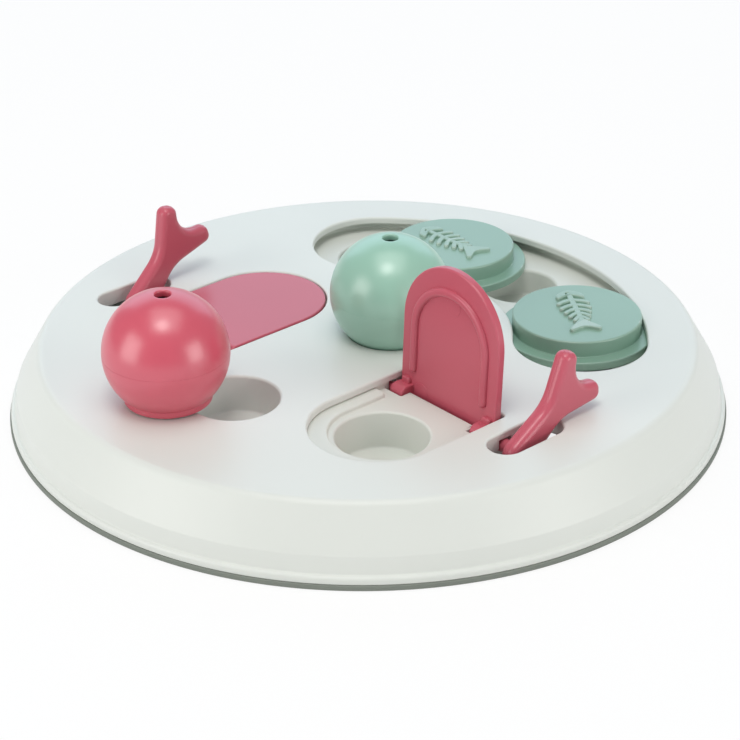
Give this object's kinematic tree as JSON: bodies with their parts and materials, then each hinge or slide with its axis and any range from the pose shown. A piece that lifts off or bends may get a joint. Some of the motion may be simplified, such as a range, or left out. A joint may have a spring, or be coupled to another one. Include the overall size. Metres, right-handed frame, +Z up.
{
  "type": "cat puzzle board",
  "caption": "Low round treat puzzle board for a cat with lever flaps over cups, fish-bone sliders in a curved track, ball cups and loose hollow balls.",
  "frame": {"origin": "centre of the underside, on the plane that the board stands on", "axes": "+Z up; -Y towards the viewer of the picture, +X to their right"},
  "size_m": [0.23, 0.23, 0.0636],
  "materials": {
    "white_plastic": "satin off-white",
    "tray_plastic": "satin off-white",
    "grey_rubber": "matte grey",
    "screw_steel": "zinc plated",
    "pink_plastic": "satin coral pink",
    "green_plastic": "satin sage green"
  },
  "bodies": {
    "board": {"deck_shell": "white_plastic", "grip_ring": "grey_rubber", "track_tray": "tray_plastic", "track_tray_screws": "screw_steel", "flap_box_left": "tray_plastic", "flap_box_left_screws": "screw_steel", "flap_box_right": "tray_plastic", "flap_box_right_screws": "screw_steel"},
    "left_flap": {"flap_left": "pink_plastic", "hinge_axle_left": "pink_plastic", "tail_lever_left": "pink_plastic"},
    "right_flap": {"flap_right": "pink_plastic", "hinge_axle_right": "pink_plastic", "tail_lever_right": "pink_plastic"},
    "rear_slider": {"slider_rear": "green_plastic"},
    "front_slider": {"slider_front": "green_plastic"},
    "pink_ball": {"pink_ball_dome": "pink_plastic", "pink_ball_bowl": "pink_plastic"},
    "green_ball": {"green_ball_dome": "green_plastic", "green_ball_bowl": "green_plastic"}
  },
  "joints": [
    {"name": "left_flap_hinge", "type": "hinge", "parent": "board", "child": "left_flap", "pos_m": [-0.0533, 0.0073, 0.018], "axis": [0.6574, -0.7536, 0], "range_deg": [0, 93]},
    {"name": "right_flap_hinge", "type": "hinge", "parent": "board", "child": "right_flap", "pos_m": [0.022, -0.0447, 0.018], "axis": [-0.6574, 0.7536, 0], "range_deg": [-93, 0]},
    {"name": "rear_slider_travel", "type": "hinge", "parent": "board", "child": "rear_slider", "pos_m": [0.0008, 0, 0.0173], "axis": [0, 0, 1], "range_deg": [-7.6, 23.7]},
    {"name": "front_slider_travel", "type": "hinge", "parent": "board", "child": "front_slider", "pos_m": [0.0008, 0, 0.0173], "axis": [0, 0, 1], "range_deg": [-11.6, 7.6]},
    {"name": "pink_ball_lift", "type": "slide", "parent": "board", "child": "pink_ball", "axis": [0, 0, 1], "range_m": [0, 0.06]},
    {"name": "green_ball_lift", "type": "slide", "parent": "board", "child": "green_ball", "axis": [0, 0, 1], "range_m": [0, 0.06]}
  ]
}
